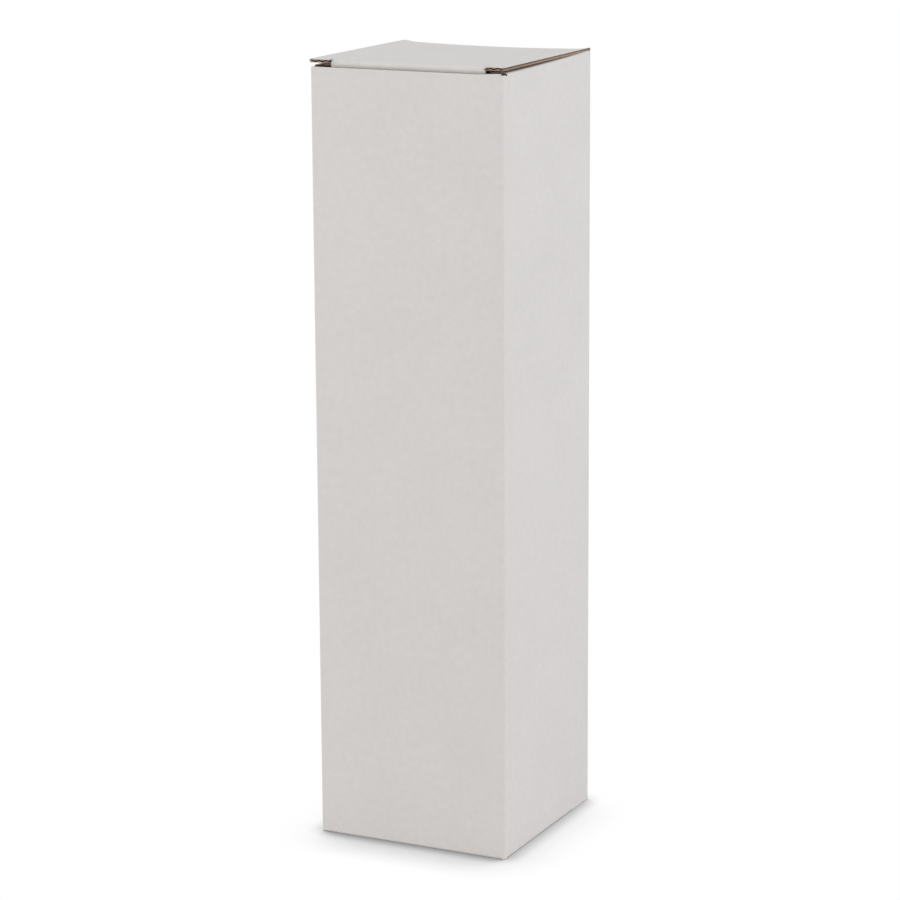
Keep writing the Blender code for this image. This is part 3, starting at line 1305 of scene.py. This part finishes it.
@dataclass
class Lid:
    """The lid with its crease, the fold between the two slits, and the tuck flap."""

    overhang: float = 0.3 * MM
    slit_length: float = 8.8 * MM
    slit_gap: float = 0.25 * MM
    crease_inset: float = 0.3 * MM
    rear_half: float = 44.95 * MM
    raw_gap: float = 0.02 * MM
    crush_length: float = 14 * MM
    bend: Bend = Bend(0.64 * MM, math.radians(30))
    first_row: float = 1 * MM
    lid_rows: int = 24
    fold_radius: float = 2.2 * MM
    fold_flat: float = 2.0 * MM
    tuck_length: float = 20.0 * MM
    tuck_lean: float = math.radians(10)
    shoulder_top: float = 338.8 * MM
    shoulder_half: float = 41.2 * MM
    shoulder_taper: float = 3.0 * MM
    shoulder_round: float = 0.6 * MM
    tuck_round: float = 6.0 * MM
    tuck_rows: int = 6

    @property
    def fold_start(self) -> float:
        """Distance from the back wall's face at which the fold begins to turn."""
        return 2 * CARTON.half - CARTON.layer - self.fold_radius

    @property
    def eased(self) -> tuple[float, float]:
        """Lengths over which the board is crushed below the rear crease and on the lid."""
        return BOARD.crush_run, self.crush_length

    @property
    def crease_range(self) -> tuple[float, float]:
        """Lowest and highest x of the crease between the back wall and the lid."""
        box = CARTON
        return box.layer - box.half + box.corner_reach, box.half - self.crease_inset

    @property
    def turn_half(self) -> float:
        """Half the width of the fold between the slits."""
        return CARTON.half - self.slit_length - self.slit_gap

    @cached_property
    def course(self) -> Course:
        """Way of the outer face: up the back wall, along the lid, over the fold and down.

        Returns:
            The course, as (distance from the back wall's face, minus the height).
        """
        box = CARTON
        turn = math.radians(90) + self.tuck_lean
        cut = self.fold_radius * math.tan(turn / 2)
        sharp, down = self.fold_start + cut, self.tuck_length + cut
        tip = (sharp - down * math.sin(self.tuck_lean), -box.lid_top + down * math.cos(self.tuck_lean))
        points = [(0.0, -box.back_join), (0.0, -box.lid_top), (sharp, -box.lid_top), tip]
        return Course(points, [box.crease_radius, self.fold_radius], [BOARD.crushed, 1.0], self.eased)

    @cached_property
    def flat_course(self) -> Course:
        """Way of the lid alone, flat out to the ends of its ears.

        Returns:
            The course, in the same plane as the other one.
        """
        box = CARTON
        points = [(0.0, -box.back_join), (0.0, -box.lid_top), (2 * box.half, -box.lid_top)]
        return Course(points, [box.crease_radius], [BOARD.crushed], self.eased)

    def _fold(self, course: Course) -> Fold:
        """Fold that lays a course from the back wall to the front."""
        return Fold(course, (0, -1, 0), (0, 0, -1), (1, 0, 0), Bent.ALONG_FLUTES, (0, CARTON.half, 0))

    def make(self) -> None:
        """Build the four pieces."""
        self._crease()
        self._panel()
        self._turn()
        self._tuck()

    def _crease(self) -> None:
        """The crease that the lid swings on."""
        box, course = CARTON, self.course
        low, high = self.crease_range
        end = course.mark(1, box.top_join)
        outline = np.array([(low, 0.0), (high, 0.0), (high, end), (low, end)])
        rows = self.bend.stations(course, end)
        piece = Sheet("lid_crease", outline, self._fold(course), rows, SETTLING.lid).make()
        start = np.array([0, box.half, box.lid_top])
        tuple(self.bend.end(start, (0, -1, 0)))
        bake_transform(piece)

    def _panel(self) -> None:
        """The lid panel with its two ears."""
        box, course = CARTON, self.flat_course
        low, high = self.crease_range
        half, inner = box.half + self.overhang, box.half - self.slit_length
        raw = course.mark(1, box.crease_radius + self.raw_gap)
        rear, front = course.mark(1, box.top_join), course.mark(2, 0.0)
        join = course.mark(1, self.fold_start - self.fold_flat)
        left = [(low, rear), (low, raw), (-self.rear_half, raw), (-half, front)]
        between_slits = [(-inner, front), (-inner, join), (inner, join), (inner, front)]
        right = [(half, front), (self.rear_half, raw), (high, raw), (high, rear)]
        outline = np.array([*left, *between_slits, *right])
        even = np.linspace(rear + self.first_row, front, self.lid_rows)
        rows = np.union1d(even, [raw, rear, join])
        piece = Sheet("lid_board", outline, self._fold(course), rows, SETTLING.lid).make()
        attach(piece, "lid")
        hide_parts("lid_panel")

    def _turn(self) -> None:
        """The rounded fold between the slits."""
        course, half = self.course, self.turn_half
        begin, finish = course.round_ends(2)
        start = course.mark(1, self.fold_start - self.fold_flat)
        end = finish + self.fold_flat
        outline = np.array([(-half, start), (half, start), (half, end), (-half, end)])
        rows = course.stations(start, end)
        piece = Sheet("lid_fold", outline, self._fold(course), rows, SETTLING.lid).make()
        ends = self._fold(course)(np.zeros(2), np.array([begin, finish]), np.zeros(2))
        first, last = (tuple(point) for point in SETTLING.lid(ends))
        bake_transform(piece)

    def _tuck(self) -> None:
        """The tuck flap below the fold, wider than the fold once it is inside the box."""
        course, half = self.course, self.turn_half
        join = course.round_ends(2)[1] + self.fold_flat
        level = float(course.where(1, -self.shoulder_top))
        tip = course.length
        right = [
            (half, join),
            (half, level),
            (self.shoulder_half, level),
            (self.shoulder_half - self.shoulder_taper, tip),
        ]
        outline = mirrored(right, [0, 0, self.shoulder_round, self.tuck_round])
        rows = np.linspace(min(join, level), tip, self.tuck_rows)
        piece = Sheet("tuck_board", outline, self._fold(course), rows, SETTLING.lid).make()
        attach(piece, "tuck")
        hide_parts("tuck_flap")


@dataclass
class DustFlaps:
    """The two flaps under the lid, each with the crease on its side wall."""

    end_gap: float = 0.05 * MM
    notch: float = 2.5 * MM
    nose: float = -39.5 * MM
    tip: float = 5.0 * MM
    rear_tip: float = 21.2 * MM
    tip_round: float = 4.0 * MM
    flap_rows: int = 5
    bend_top: float = 343.97 * MM
    bend: Bend = Bend(0.666 * MM, math.radians(20))

    @cached_property
    def course(self) -> Course:
        """Way of the outer face: up the side wall, round the crease and inwards.

        Returns:
            The course, as (distance from the side wall's face, minus the height).
        """
        box = CARTON
        points = [(0.0, -box.side_join), (0.0, -box.side_top), (box.half - self.tip, -box.side_top)]
        return Course(points, [box.crease_radius], [BOARD.crushed])

    def make(self) -> None:
        """Build crease and flap on both sides."""
        box, course = CARTON, self.course
        front, rear = box.dust_front + self.end_gap, box.dust_rear - self.end_gap
        join, end = course.mark(1, box.top_join), course.length
        strip = np.array([(front, 0.0), (rear, 0.0), (rear, join), (front, join)])
        corners = [
            (front, join),
            (self.nose, course.mark(1, BOARD.thickness + self.notch)),
            (self.nose, end),
            (self.rear_tip, end),
            (rear, join),
        ]
        flap = rounded(corners, [0, 0, self.tip_round, self.tip_round, 0])
        flap_rows = np.linspace(join, end, self.flap_rows)
        crease_rows = self.bend.stations(course, join)
        for label, side in (("left", -1), ("right", 1)):
            inward, wall = (-side, 0, 0), (side * box.half, 0, 0)
            fold = Fold(course, inward, (0, 0, -1), (0, 1, 0), Bent.ALONG_FLUTES, wall)
            crease = Sheet(f"{label}_dust_crease", strip, fold, crease_rows, SETTLING.sides).make()
            start = np.array([side * box.half, 0, self.bend_top])
            end_place = self.bend.end(start, inward)
            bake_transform(crease)
            board = Sheet(f"{label}_dust_board", flap, fold, flap_rows, SETTLING.sides).make()
            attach(board, f"{label}_dust")
            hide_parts(f"{label}_dust_flap")


# Studio


def towards(azimuth: float, elevation: float) -> Array:
    """Unit vector (sin a cos e, -cos a cos e, sin e) away from the box, in front at a = 0."""
    level = math.cos(elevation)
    return np.array([math.sin(azimuth) * level, -math.cos(azimuth) * level, math.sin(elevation)])


@dataclass(frozen=True)
class Camera:
    """The photograph's viewpoint, found from the box's corners in the picture."""

    yaw: float = math.radians(26.054)
    pitch: float = math.radians(12.899)
    roll: float = math.radians(-0.354)
    place: Place = (0.60599, -1.24440, 0.48581)
    focal_pixels: float = 3226
    picture_pixels: float = 900
    sensor: float = 36.0

    def make(self) -> None:
        """Put the camera in the scene."""
        lens = bpy.data.cameras.new("camera")
        lens.sensor_width = self.sensor
        lens.lens = self.focal_pixels / self.picture_pixels * self.sensor
        camera = linked("camera", lens)
        back = towards(self.yaw, self.pitch)
        right = np.cross([0.0, 0.0, 1.0], back)
        right /= np.linalg.norm(right)
        up = np.cross(back, right)
        turned = math.cos(self.roll) * right + math.sin(self.roll) * up
        upright = math.cos(self.roll) * up - math.sin(self.roll) * right
        matrix = np.eye(4)
        matrix[:3] = np.stack([turned, upright, back, self.place], -1)
        camera.matrix_world = matrix.T.tolist()
        bpy.context.scene.camera = camera


@dataclass(frozen=True)
class Lamp:
    """A large soft lamp that faces the box."""

    name: str
    azimuth: float
    elevation: float
    distance: float
    width: float
    power: float
    colour: Colour

    def make(self, target: float) -> None:
        """Put the lamp in the scene.

        Args:
            target: Height on the box's axis that the lamp faces.
        """
        light = bpy.data.lights.new(self.name, "AREA")
        light.shape = "SQUARE"
        light.size = self.width
        light.energy = self.power
        light.color = self.colour
        lamp = linked(self.name, light)
        away = towards(math.radians(self.azimuth), math.radians(self.elevation))
        lamp.location = away * self.distance + np.array([0, 0, target])
        lamp.rotation_mode = "QUATERNION"
        lamp.rotation_quaternion = Vector(-away).to_track_quat("-Z", "Y")


@dataclass(frozen=True)
class Shade:
    """One share of the soft shadow where the box touches the floor.

    It takes away depth * hidden ^ power of the floor's light, where hidden is the share of
    a sky, seen along lean, that the box hides within reach.
    """

    reach: float
    lean: Direction
    power: float
    depth: float
    samples: int = 16

    def taken(self, shader: Shader) -> Socket:
        """Write the shade's nodes.

        Args:
            shader: The floor's shader.

        Returns:
            The light that this share takes away.
        """
        lean = shader.node("ShaderNodeCombineXYZ", None, dict(enumerate(self.lean)))
        sockets = {"Distance": self.reach, "Normal": lean}
        sky = shader.node("ShaderNodeAmbientOcclusion", {"samples": self.samples}, sockets, "AO")
        return self.depth * shader.math("POWER", 1.0 - sky, self.power)


@dataclass(frozen=True)
class Studio:
    """White sweep, even white surroundings and soft lamps."""

    floor_half: float = 4.0
    floor_colour: Colour = (0.745, 0.72, 0.715)
    wide_shade: Shade = Shade(reach=30 * MM, lean=(-0.244, 0.788, 0.565), power=1.8, depth=0.794)
    near_shade: Shade = Shade(reach=8 * MM, lean=(0.0, 0.0, 1.0), power=1.0, depth=0.591)
    darkest: float = 0.25
    surroundings: float = 0.84
    sky_colour: Colour = (0.985, 1.0, 1.005)
    white: Colour = (1.0, 1.0, 1.0)
    lamp_target: float = 170 * MM
    lamps: tuple[Lamp, ...] = (
        Lamp(
            name="key_lamp",
            azimuth=-46,
            elevation=12,
            distance=1.8,
            width=1.4,
            power=9.8,
            colour=(1.0, 0.955, 0.885),
        ),
        Lamp(
            name="side_lamp",
            azimuth=88,
            elevation=12,
            distance=2.2,
            width=1.4,
            power=13.5,
            colour=(0.948, 0.97, 1.0),
        ),
    )

    def make(self) -> None:
        """Build the floor, the surroundings and the lamps."""
        self._floor()
        self._world()
        for lamp in self.lamps:
            lamp.make(self.lamp_target)

    @staticmethod
    def _seen(shader: Shader) -> Socket:
        """Tell the rays that show the background from those that light the box.

        Args:
            shader: The shader that asks.

        Returns:
            1 for the camera's own, mirrored and refracted rays, 0 for all others.
        """
        names = ("Is Camera Ray", "Is Glossy Ray", "Is Transmission Ray")
        kinds = [shader.node("ShaderNodeLightPath", output=name) for name in names]
        return shader.math("MINIMUM", kinds[0] + kinds[1] + kinds[2], 1.0)

    def _floor(self) -> None:
        """A level white floor just under the box, with the soft shadow where the box touches it.

        The wide shade's sky leans to the rear left, so that it falls to the front right.
        """
        reach = self.floor_half
        points = [(-reach, -reach, 0), (reach, -reach, 0), (reach, reach, 0), (-reach, reach, 0)]
        mesh = bpy.data.meshes.new("floor")
        mesh.from_pydata(points, [], [(0, 1, 2, 3)])
        white_floor = bpy.data.materials.new("white_floor")
        white_floor.use_nodes = True
        shader = Shader(white_floor.node_tree)
        shadow = self.wide_shade.taken(shader) + self.near_shade.taken(shader)
        left = shader.math("MAXIMUM", 1.0 - shadow, self.darkest)
        glow = shader.node("ShaderNodeEmission", None, {"Color": (*self.white, 1.0), "Strength": left})
        matt = shader.node("ShaderNodeBsdfDiffuse", None, {"Color": (*self.floor_colour, 1.0)})
        both = shader.node("ShaderNodeMixShader", None, {0: self._seen(shader), 1: matt, 2: glow})
        shader.node("ShaderNodeOutputMaterial", None, {"Surface": both})
        mesh.materials.append(white_floor)
        floor = linked("floor", mesh)

    def _world(self) -> None:
        """Even light from all round, white where the camera sees it."""
        world = bpy.data.worlds.new("studio")
        world.use_nodes = True
        shader = Shader(world.node_tree)
        seen = self._seen(shader)
        strength = self.surroundings + (1 - self.surroundings) * seen
        sky = shader.mix(seen, self.sky_colour, self.white)
        light = shader.node("ShaderNodeBackground", None, {"Color": sky, "Strength": strength})
        shader.node("ShaderNodeOutputWorld", None, {"Surface": light})
        bpy.context.scene.world = world


def main() -> None:
    """Build the studio and the carton."""
    bpy.context.scene.view_settings.view_transform = "Standard"
    Camera().make()
    Studio().make()
    Sleeve().make()
    SnapLockBottom().make()
    Lid().make()
    DustFlaps().make()
    bpy.context.view_layer.update()


if __name__ == "__main__":
    main()
